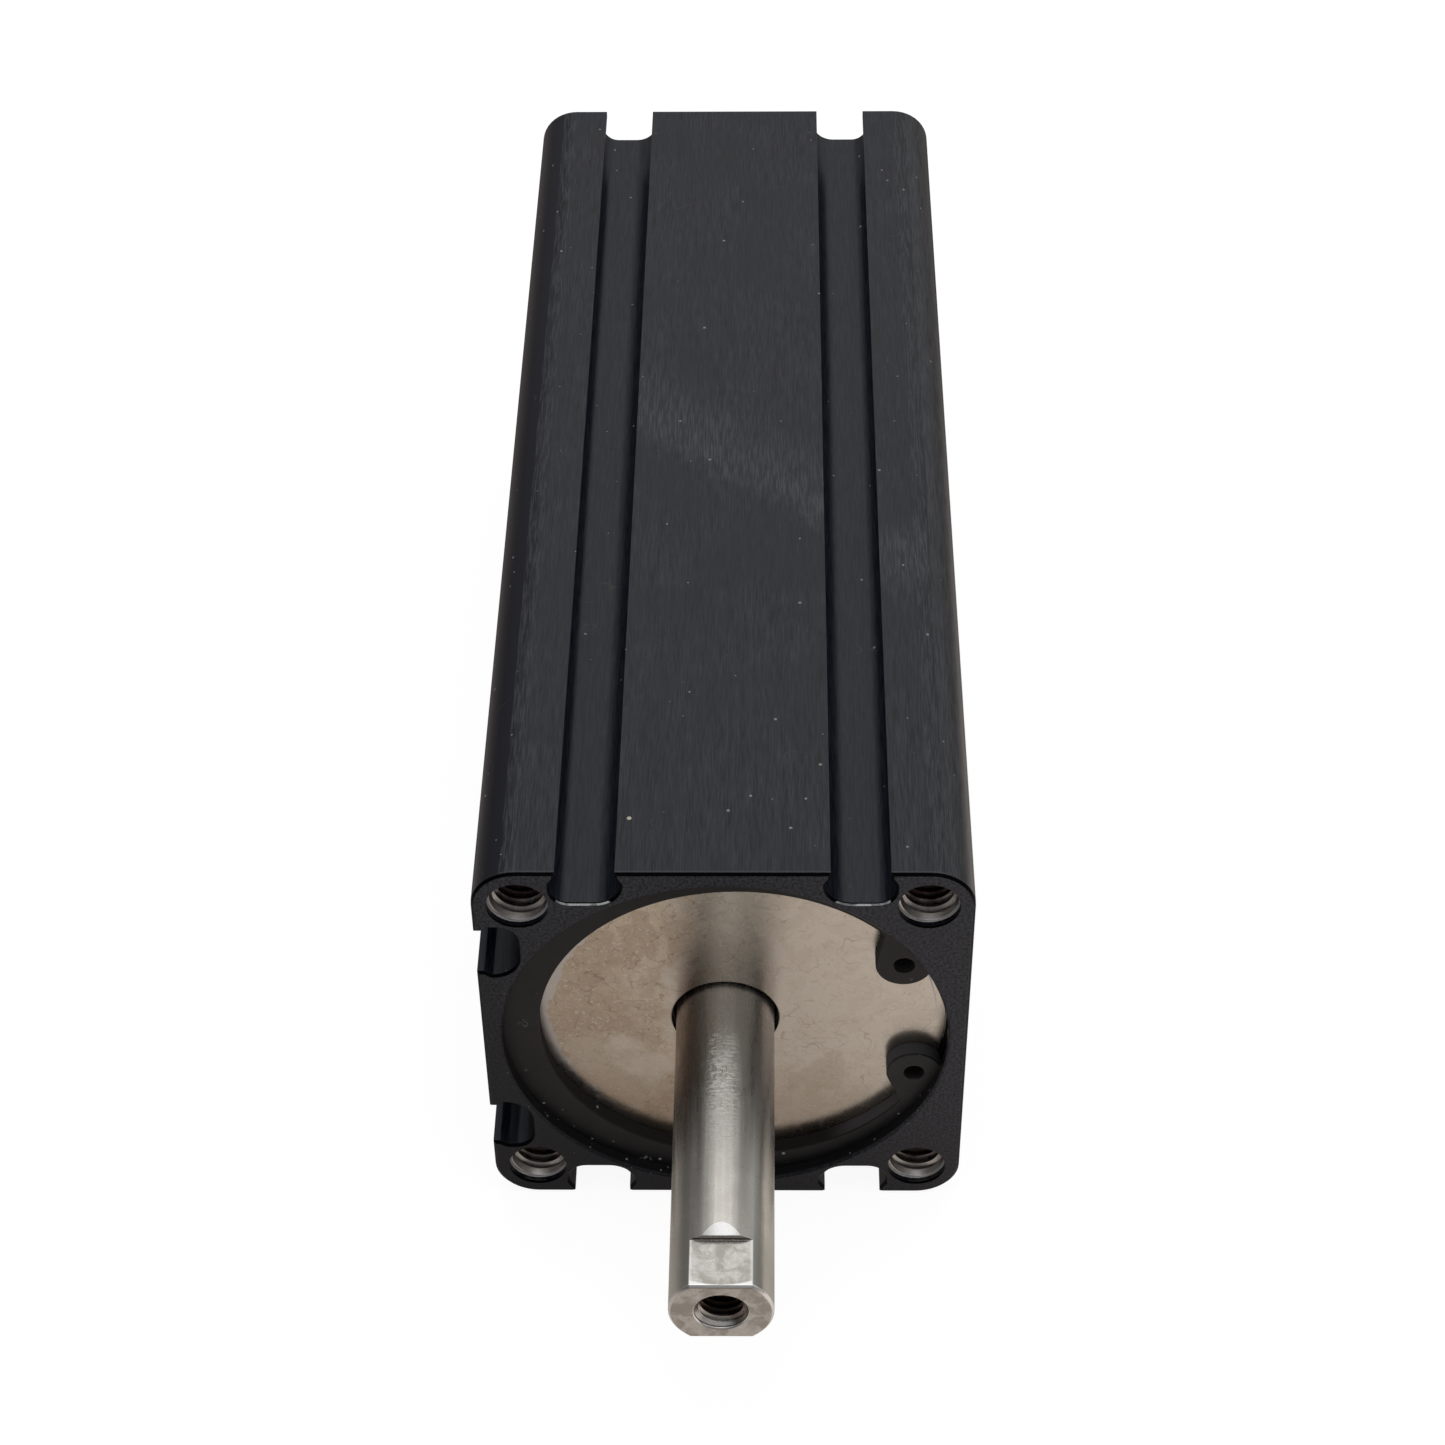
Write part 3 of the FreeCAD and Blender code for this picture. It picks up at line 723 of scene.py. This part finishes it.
# %% Cover finish
def cover_finish():
    material, shader = new_finish("cover_metal", (0.60, 0.50, 0.39), 1.0, 0.3)
    place, x, _, z = where_in_mm(material.node_tree)
    radius = from_axis(x, z)
    film, spots = cover_stains(place, x, radius)
    wear_and_sheen, bright = cover_rims(place, x, z)
    on_film = ramped(film, 0.0, 1.0, 0.30, 1.0)
    mottled = effect(patches, place, Size=2.2, Softness=0.07)
    fibres = effect(scratches, place, Size=1.7, Width=0.028, Share=0.55)
    # pale curls along fine scratches, painted as their glints
    curls = effect(scratches, place, Size=0.8, Width=0.040, Share=0.52)
    hair = effect(scratches, place, Size=2.9, Width=0.010, Share=0.55)
    # painted light: the metal above the rod is painted lighter against the rod's dark mirrored
    # image
    painted_light_above_rod = product(ramped(maths("ABSOLUTE", x), 3.0, 6.0, 1.0, 0.0), ramped(z, 7, 14))
    low_down = product(ramped(x, 10, 19, 1.0, 0.0), ramped(z, -14, -6, 1.0, 0.0))
    color = mixed(ramped(x, -12, 12), (0.80, 0.73, 0.64), (0.75, 0.70, 0.62))
    color = layered(color, (film, 0.85, (0.765, 0.655, 0.530)),
                    (painted_light_above_rod, 0.50, (0.98, 0.90, 0.80)),
                    (spots, 0.50, (0.52, 0.41, 0.31)),
                    (product(mottled, on_film), 0.38, (0.56, 0.45, 0.345)),
                    (product(fibres, on_film), 0.55, (0.36, 0.26, 0.185)),
                    (product(curls, on_film), 0.45, (0.98, 0.90, 0.80)),
                    (hair, 0.45, (0.42, 0.34, 0.27)),
                    (low_down, 0.40, (0.52, 0.40, 0.30)),
                    # painted highlights along the ring: the pale rim on the left and the bright
                    # edge on top
                    (wear_and_sheen, 0.85, (0.71, 0.685, 0.665)),
                    (bright, 0.85, (0.90, 0.88, 0.85)))
    rough = maths("ADD", ramped(film, 0.0, 1.0, 0.24, 0.31), product(mottled, 0.05))
    metal = inverse(product(bright, 0.75))
    across = add_node("ShaderNodeCombineXYZ", {"X": radius}).outputs[0]
    turning = noise(across, 0.12, 2, 0.6)
    height = maths("MULTIPLY_ADD", turning, 0.3, product(fibres, 0.4))
    feed(shader, Base_Color=color, Roughness=rough, Metallic=metal, Height=height,
         Depth=0.0004 * mm)
    return material


dress(cover_finish(), "rod_cover", "head_cover")

# %% [markdown]
# ## Retaining rings
#
# The rings are stamped from spring steel and phosphated, which gives a dry, sooty black with a
# fine grain. Their face is smoother than their punched walls. Dust and chips have settled low
# in the groove, and two curls of lint stick to the face. The walls of the two ears with the
# plier holes are painted lighter, as painted light where they look up, the lower ear's most
# but not round its hole, and the upper ear's face is painted a little darker.

# %% Dust and lint on a ring
def ring_dirt(place, x, z):
    """Masks for specks, which are chips along the rim low down, and for two curls of lint."""
    specks = product(effect(dust, place, Cell=1.5, Share=0.70, Speck=0.15),
                     ramped(z, -12, -7, 1.0, 0.12))
    rim = ring_radius / mm
    chips = product(effect(dust, place, Cell=0.8, Share=0.40, Speck=0.17),
                    ramped(from_axis(x, z), rim - 1.3, rim - 0.9), ramped(z, -14, -7, 1.0, 0.0))
    lint_low, lint_left = (-8.7, ring_face / mm, -20.9), (-20.4, ring_face / mm, 1.2)
    lint = product(effect(scratches, place, Size=1.0, Width=0.035, Share=0.95),
                   largest(near(place, lint_low, 0.8), near(place, lint_left, 0.7)),
                   ramped(z, -12, -6, 0.9, 0.3))
    return largest(specks, chips), lint


# %% Ring finish
def ring_finish():
    material, shader = new_finish("ring_steel", (0.004, 0.003, 0.003), 0.0, 0.5)
    place, x, y, z = where_in_mm(material.node_tree)
    grain = noise(place, 0.12, 3, 0.7)
    bloom = effect(patches, place, Size=2.5, Softness=0.2)
    by_ears = ramped(x, 10, 14)
    upper_ear = product(by_ears, ramped(z, 0, 4))
    lower_ear = product(by_ears, ramped(z, -4, 0, 1.0, 0.0))
    lower_hole = near(place, (19.35, 2.2, -6.4), 1.7)
    face = mixed(bloom, (0.0062, 0.0062, 0.0078), (0.0130, 0.0124, 0.0138))
    face = layered(face, (upper_ear, 0.50, (0.0030, 0.0026, 0.0028)))
    # painted light: the walls of the ears are painted lighter where they look up, most on the lower
    # ear, but not round its hole
    wall = mixed(upper_ear, (0.011, 0.0105, 0.011), (0.032, 0.029, 0.029))
    wall = mixed(lower_ear, wall, (0.085, 0.082, 0.090))
    wall = mixed(lower_hole, wall, (0.012, 0.011, 0.012))
    on_face = maths("LESS_THAN", y, ring_face / mm + 0.2)
    specks, lint = ring_dirt(place, x, z)
    color = layered(mixed(on_face, wall, face), (lint, 1.00, (0.45, 0.45, 0.43)),
                    (specks, 0.80, (0.70, 0.69, 0.66)))
    rough = blended(on_face, 0.80, ramped(grain, 0.3, 0.7, 0.42, 0.62))
    feed(shader, Base_Color=color, Roughness=rough, Height=grain, Depth=0.006 * mm)
    return material


dress(ring_finish(), "front_retaining_ring", "rear_retaining_ring")

# %% [markdown]
# ## Piston rod
#
# The rod is ground and polished stainless steel. Grinding marks run round it and spread every
# highlight, so its shader is anisotropic, with a tangent that goes round the rod's axis. Worn
# scuffs lie in a strip along the top, where it rubbed in its packing. Light is painted into its
# colour too: a pale ridge along the top is a painted highlight, the flanks are painted pale
# towards the tip, and near the cover they are painted dark, as painted shade and reflection.
# The flats and the end face were milled afterwards and have no such direction. They get a
# second finish, whose faces are found by their place.

# %% Ground finish of the rod
def rod_finish():
    material, shader = new_finish("rod_steel", (0.60, 0.57, 0.52), 1.0, 0.27)
    shader.inputs["Anisotropic"].default_value = 0.9
    shader.inputs["Anisotropic Rotation"].default_value = 0.25
    round_it = add_node("ShaderNodeTangent", tree=material.node_tree, direction_type="RADIAL",
                        axis="Y")
    feed(shader, Tangent=round_it.outputs[0])
    place, x, y, z = where_in_mm(material.node_tree)
    aside = maths("ABSOLUTE", x)
    ground = streaked(place, 2.5, 0.05, 2.5)
    drawn = streaked(place, 0.25, 6.0, 0.25)
    film = effect(patches, place, Size=5.0, Softness=0.2)
    hair = effect(scratches, place, Size=2.2, Width=0.006, Share=0.46)
    dashes = streaked(place, 0.7, 0.22, 1.5)
    scuffed = product(ramped(aside, 1.0, 1.9, 1.0, 0.0), ramped(z, 3.0, 4.0), ramped(y, -21, -16),
                      ramped(y, -5, -2, 1.0, 0.0), ramped(dashes, 0.50, 0.75))

    # painted highlight and shade: the ridge is painted pale, and the flanks are painted from pale
    # at the tip to dark at the cover
    flank = ramped(aside, 1.8, 3.6)
    painted_ridge_highlight = ramped(flank, 0.0, 0.6, 0.45, 0.0)
    painted_flank_light = product(flank, ramped(y, -20, -13, 0.6, 0.0))
    right_tip = product(ramped(x, 0, 1), ramped(y, -31, -25, 1.0, 0.0))
    pale = mixed(right_tip, (0.73, 0.74, 0.685), (0.48, 0.51, 0.47))
    painted_shade_near_cover = largest(product(flank, ramped(y, -20, -8)), ramped(y, -9, 1, 0.0, 0.35))
    # painted shade and reflection near the cover: reddish on the left, bluish on the right
    dark = mixed(ramped(x, -2, 2), (0.35, 0.285, 0.26), (0.30, 0.295, 0.30))
    color = mixed(film, (0.635, 0.605, 0.555), (0.555, 0.522, 0.470))
    color = layered(color, (painted_ridge_highlight, 1.00, (0.74, 0.715, 0.67)), (painted_flank_light, 1.00, pale),
                    (painted_shade_near_cover, 0.80, dark), (hair, 0.30, (0.40, 0.36, 0.31)),
                    (scuffed, 0.60, (0.92, 0.91, 0.88)))
    rough = maths("ADD", ramped(film, 0.0, 1.0, 0.23, 0.29), product(drawn, 0.05))
    rough = maths("ADD", rough, product(scuffed, 0.25))
    height = maths("MULTIPLY_ADD", drawn, 0.5, ground)
    height = maths("MULTIPLY_ADD", scuffed, 9.0, height)
    feed(shader, Base_Color=color, Roughness=rough, Height=height, Depth=0.0006 * mm)
    return material


# %% Milled finish of its flats and end face
def milled_finish():
    material, shader = new_finish("milled_steel", (0.60, 0.57, 0.52), 1.0, 0.24)
    place, x, y, z = where_in_mm(material.node_tree)
    aside, above_flat = maths("ABSOLUTE", x), maths("ABSOLUTE", z)
    above_flat = maths("SUBTRACT", above_flat, flat_height / mm)
    from_tip = maths("SUBTRACT", y, rod_low.y / mm)
    past_wall = maths("SUBTRACT", y, flats_end / mm)
    blotches = effect(patches, place, Size=1.6, Softness=0.12)
    small = effect(patches, place, Size=0.45, Softness=0.15)
    hair = effect(scratches, place, Size=1.6, Width=0.012, Share=0.46)

    # painted highlights and shade: the front edge, the sides and the run-out are painted bright,
    # and the wall between them is painted dark at its foot and pale above
    curve = maths("MULTIPLY_ADD", product(x, x), 0.06, 0.22)
    edge = ramped(maths("SUBTRACT", from_tip, curve), -0.05, 0.12, 1.0, 0.0)
    edge = product(edge, maths("GREATER_THAN", from_tip, 0.03))
    edge = product(largest(edge, ramped(aside, 2.6, 3.0, 0.0, 0.6)), ramped(from_tip, 0.0, 0.05))
    bright = largest(edge, ramped(past_wall, 0.02, 0.10))
    wall = maths("COMPARE", past_wall, 0.0, 0.025)
    # painted shade at the foot of the wall, painted light above it
    painted_wall_light_and_shade = mixed(ramped(above_flat, 0.20, 0.36), (0.045, 0.034, 0.028), (0.45, 0.41, 0.38))
    color = mixed(blotches, (0.71, 0.695, 0.655), (0.47, 0.45, 0.41))
    color = layered(color, (small, 0.35, (0.42, 0.39, 0.35)),
                    (hair, 0.35, (0.90, 0.89, 0.86)), (bright, 1.00, (0.97, 0.965, 0.95)),
                    (wall, 1.00, painted_wall_light_and_shade))
    rough = ramped(blotches, 0.0, 1.0, 0.24, 0.36)
    metal = inverse(product(wall, 0.90))
    feed(shader, Base_Color=color, Roughness=rough, Metallic=metal, Height=small, Depth=0.002 * mm)
    return material


# %% Give the rod both finishes
dress(rod_finish(), "piston_rod")
rod_mesh = shown["piston_rod"].data
rod_mesh.materials.append(milled_finish())
run_out = 1.5 * mm
milled = 0
for face in rod_mesh.polygons:
    out = math.hypot(face.center.x, face.center.z)
    off_round = out < 0.99 * rod_high.x or face.normal.y < -0.2
    if face.center.y < flats_end + run_out and off_round:
        face.material_index = 1
        milled += 1
print("milled faces:", milled, "of", len(rod_mesh.polygons))

# %% [markdown]
# ## Cut threads
#
# The corner threads were cut after the tube was anodised, so they show bare aluminium, with
# dark oil in their roots. Further down the hole they are painted darker still, as oil and
# painted shade, the upper holes darker than the lower ones, and a bright lip just inside the
# mouth is a painted highlight. Two distances tell where a point is: the one from its hole's
# axis tells root from crest, and the one from the end face tells how deep it lies. The four
# holes have four axes, so the sign of Z and the absolute value of X fold them onto one. The
# rod's own thread is steel, nearly black with oil and painted shade further in, and a burr low
# at its mouth is painted bright as its highlight. The two ports were tapped before the tube was
# anodised, and share its finish.

# %% Thread finish
def thread_finish():
    material, shader = new_finish("cut_thread", (0.55, 0.51, 0.46), 1.0, 0.35)
    place, x, y, z = where_in_mm(material.node_tree)
    axis = half_spacing / mm
    above = maths("SUBTRACT", z, product(maths("SIGN", z), axis))
    radius = from_axis(maths("ABSOLUTE", x), above, axis)
    depth = maths("SUBTRACT", from_ends(y), corner_recess / mm)
    oil = effect(patches, place, Size=1.4, Softness=0.2)
    torn = noise(place, 0.30, 3, 0.7)
    in_root = product(ramped(radius, 2.60, 2.95), 0.30)
    # painted shade and oil: darker further down the hole
    depth_shade_and_oil = ramped(maths("MULTIPLY_ADD", oil, 0.8, depth), 1.8, 4.0)
    oil_and_depth_shade = maths("ADD", in_root, product(oil, 0.20))
    oil_and_depth_shade = maths("ADD", oil_and_depth_shade, depth_shade_and_oil, clamp=True)
    # painted highlight: a bright lip just inside the mouth
    painted_lip_highlight = product(maths("LESS_THAN", depth, 0.30), maths("GREATER_THAN", radius, 2.7))
    # the dark tone of oil and painted shade is darker in the upper holes than in the lower ones
    oil_and_shade_tone = mixed(ramped(z, -1, 1), (0.23, 0.180, 0.145), (0.125, 0.075, 0.068))
    color = layered(mixed(oil_and_depth_shade, (0.80, 0.78, 0.76), oil_and_shade_tone),
                    (painted_lip_highlight, 1.00, (0.78, 0.76, 0.77)),
                    (ramped(torn, 0.45, 0.7), 0.20, (0.38, 0.33, 0.30)))
    rough = ramped(torn, 0.3, 0.7, 0.30, 0.38)
    metal = inverse(product(painted_lip_highlight, 0.5))
    feed(shader, Base_Color=color, Roughness=rough, Metallic=metal, Height=torn, Depth=0.0015 * mm)
    return material


# %% Finish of the rod's thread
def deep_thread_finish():
    material, shader = new_finish("oily_thread", (0.2, 0.17, 0.14), 1.0, 0.35)
    place, x, y, z = where_in_mm(material.node_tree)
    torn = noise(place, 0.15, 3, 0.7)
    from_tip = maths("SUBTRACT", y, rod_low.y / mm)
    downward = maths("MULTIPLY_ADD", x, 0.5, z)
    # a burr low at the mouth, painted bright as its highlight
    burr_highlight = product(ramped(from_tip, 1.0, 1.6, 1.0, 0.0), ramped(downward, -2.0, -1.2, 1.0, 0.0))
    # darker further into the hole, as oil and painted shade
    color = mixed(ramped(from_tip, 0.3, 2.5), (0.34, 0.30, 0.26), (0.10, 0.075, 0.060))
    color = layered(color, (ramped(torn, 0.4, 0.7), 0.60, (0.10, 0.07, 0.055)),
                    (burr_highlight, 0.85, (0.93, 0.91, 0.87)))
    rough = ramped(torn, 0.3, 0.7, 0.25, 0.50)
    feed(shader, Base_Color=color, Roughness=rough, Height=torn, Depth=0.02 * mm)
    return material


# %% Give the threads their finishes
thread_finishes = {"corner": thread_finish(), "rod": deep_thread_finish(),
                   "front": black_anodised, "rear": black_anodised}
for piece in threads:
    piece.data.materials.clear()
    piece.data.materials.append(thread_finishes[piece.name.split("_")[0]])
print("finishes of the threads:", sorted({piece.data.materials[0].name for piece in threads}))

# %% [markdown]
# ## Pieces inside
#
# Seals, bush, magnet and piston don't show while the cylinder is whole, but a reader may take
# it apart, so they get finishes too: rubber with a faint bloom, oily bronze, dark moulded
# plastic and plain turned or plated metal.

# %% Inner finishes
def soft_finish(name, dark, light, roughness, grain_size):
    """Rubber or plastic: two close tones, a fine grain and a soft gloss."""
    material, shader = new_finish(name, dark, 0.0, roughness)
    place = where_in_mm(material.node_tree)[0]
    bloom = effect(patches, place, Size=4.0, Softness=0.2)
    grain = noise(place, grain_size, 2, 0.6)
    rough = ramped(grain, 0.3, 0.7, roughness - 0.08, roughness + 0.08)
    feed(shader, Base_Color=mixed(bloom, dark, light), Roughness=rough, Height=grain,
         Depth=0.01 * mm)
    return material


def turned_finish(name, dark, light, roughness):
    """Turned metal: fine rings round the cylinder's axis and a slight stain."""
    material, shader = new_finish(name, light, 1.0, roughness)
    place, x, y, z = where_in_mm(material.node_tree)
    radius = from_axis(x, z)
    cut = add_node("ShaderNodeCombineXYZ", {"X": radius, "Y": y}).outputs[0]
    rings = noise(cut, 0.12, 2, 0.6)
    stain = effect(patches, place, Size=5.0, Softness=0.2)
    rough = ramped(rings, 0.3, 0.7, roughness - 0.06, roughness + 0.08)
    feed(shader, Base_Color=mixed(stain, light, dark), Roughness=rough, Height=rings,
         Depth=0.004 * mm)
    return material


dress(soft_finish("seal_rubber", (0.012, 0.012, 0.012), (0.022, 0.021, 0.020), 0.48, 0.1),
      "rod_seal", "rod_cover_o_ring", "head_cover_o_ring", "piston_seal_front", "piston_seal_rear",
      "piston_o_ring")
dress(soft_finish("bumper_rubber", (0.16, 0.055, 0.018), (0.22, 0.075, 0.026), 0.42, 0.2),
      "front_bumper", "rear_bumper")
dress(soft_finish("magnet_plastic", (0.035, 0.034, 0.036), (0.050, 0.048, 0.050), 0.5, 0.15),
      "piston_magnet")
dress(soft_finish("guide_plastic", (0.50, 0.44, 0.33), (0.58, 0.52, 0.40), 0.45, 0.15),
      "piston_wear_ring")
dress(turned_finish("bronze", (0.24, 0.13, 0.055), (0.45, 0.28, 0.13), 0.36), "rod_bush")
dress(turned_finish("piston_metal", (0.48, 0.47, 0.46), (0.68, 0.67, 0.66), 0.32),
      "piston_front_half", "piston_rear_half")
dress(turned_finish("zinc_steel", (0.46, 0.46, 0.44), (0.66, 0.66, 0.64), 0.34),
      "piston_washer", "piston_nut")
print("materials:", len(bpy.data.materials))

# %% [markdown]
# ## Floor and surroundings
#
# Product shots of dark parts stand on white paper. The floor is a large pale sheet. What the
# camera sees of it is lifted to white by the Light Path node. Polished metal is different: it
# looks like whatever it mirrors, so for glossy rays the paper is warm and fades with distance,
# as a table in a room does, and the lamps still draw the object's shadow on it.

# %% Kinds of rays
def ray_masks(tree):
    """Masks for rays that were mirrored and for rays that the camera sees straight away."""
    light_path = add_node("ShaderNodeLightPath", tree=tree)
    seen = maths("MAXIMUM", light_path.outputs["Is Camera Ray"],
                 light_path.outputs["Is Transmission Ray"])
    return light_path.outputs["Is Glossy Ray"], seen


# %% Floor
bpy.ops.object.select_all(action="DESELECT")
bpy.ops.mesh.primitive_plane_add(size=6, location=(0, 0, tube_low.z))
floor = bpy.context.object
floor.name = "floor"
bpy.ops.object.transform_apply()

# %% Paper
floor_paper = bpy.data.materials.new("floor_paper")
floor_paper.use_nodes = True
tree = floor_paper.node_tree
tree.nodes.clear()
place, x = where_in_mm(tree)[:2]
mirrored, seen = ray_masks(tree)
away = add_node("ShaderNodeVectorMath", {0: place, 1: (60, -50, tube_low.z / mm)},
                operation="DISTANCE").outputs["Value"]
table = mixed(ramped(x, -70, 70), (0.54, 0.495, 0.46), (0.95, 0.86, 0.80))
table = mixed(ramped(away, 90, 260), table, (0.30, 0.27, 0.25))
color = mixed(mirrored, (0.86, 0.86, 0.86), table)
glow = mixed(mirrored, (1.16, 1.16, 1.16), table)
lift = maths("MULTIPLY_ADD", mirrored, 0.30, product(seen, 0.80))
paper = add_node("ShaderNodeBsdfDiffuse", {"Color": color})
white = add_node("ShaderNodeEmission", {"Color": glow, "Strength": 1.0})
surface = add_node("ShaderNodeMixShader", {0: lift, 1: paper.outputs[0], 2: white.outputs[0]})
add_node("ShaderNodeOutputMaterial", {"Surface": surface.outputs[0]})
floor.data.materials.append(floor_paper)
print("floor at", round(tube_low.z / mm, 2), "mm")

# %% [markdown]
# The world is the room. It is bright overhead and dim near the horizon, and a little dimmer in
# front and on the left than behind and on the right. The camera itself sees white.

# %% World
def room_level(direction):
    """How bright the room is in each direction, where 1 is white paper."""
    x, y, z = add_node("ShaderNodeSeparateXYZ", {0: direction}).outputs
    behind = maths("MULTIPLY_ADD", x, 0.16, 0.37)
    low = product(blended(ramped(y, -0.5, 0.5), 0.11, behind), ramped(z, -0.02, 0.25, 0.40, 1.0))
    high = ramped(y, -0.80, 0.10, 0.25, 0.62)
    overhead = ramped(maths("MULTIPLY_ADD", x, 0.25, z), 0.43, 0.60)
    return blended(overhead, low, high)


world = bpy.data.worlds.new("studio")
world.use_nodes = True
bpy.context.scene.world = world
tree = world.node_tree
tree.nodes.clear()
seen = ray_masks(tree)[1]
direction = add_node("ShaderNodeTexCoord", tree=tree).outputs["Generated"]
level = blended(seen, room_level(direction), 1.0)
tent = add_node("ShaderNodeBackground", {"Color": (1, 1, 1, 1), "Strength": level})
add_node("ShaderNodeOutputWorld", {"Surface": tent.outputs[0]})

# %% [markdown]
# ## Lamps
#
# Round metal shows its lamps as stripes, so their size and place shape the rod as much as its
# material does. One large soft box hangs behind and above the tube: the camera sees it
# mirrored in the top of the rod and in the flats. Another hangs overhead, and a weak one at the
# right lifts that side.

# %% Soft boxes
def soft_box(name, direction, distance, width, height, radiance):
    """A square lamp that faces the cylinder. Radiance 1 is the brightness of white paper."""
    data = bpy.data.lights.new(name, "AREA")
    data.shape = "RECTANGLE"
    data.size, data.size_y = width, height
    data.energy = radiance * math.pi * width * height
    lamp = add_object(name, data)
    aim = Vector((0, front, 0))
    away = Vector(direction).normalized()
    lamp.matrix_world = (Matrix.Translation(aim + away * distance)
                         @ away.to_track_quat("Z", "Y").to_matrix().to_4x4())
    print(name, "gives", round(data.energy, 2), "W")


soft_box("soft_box_back", (0.10, 0.72, 0.72), 1.0, 0.70, 0.50, 0.32)
soft_box("soft_box_top", (0.0, 0.05, 1.0), 1.1, 0.80, 0.90, 0.90)
soft_box("soft_box_right", (1.0, -0.25, 0.45), 1.0, 0.40, 0.40, 0.25)
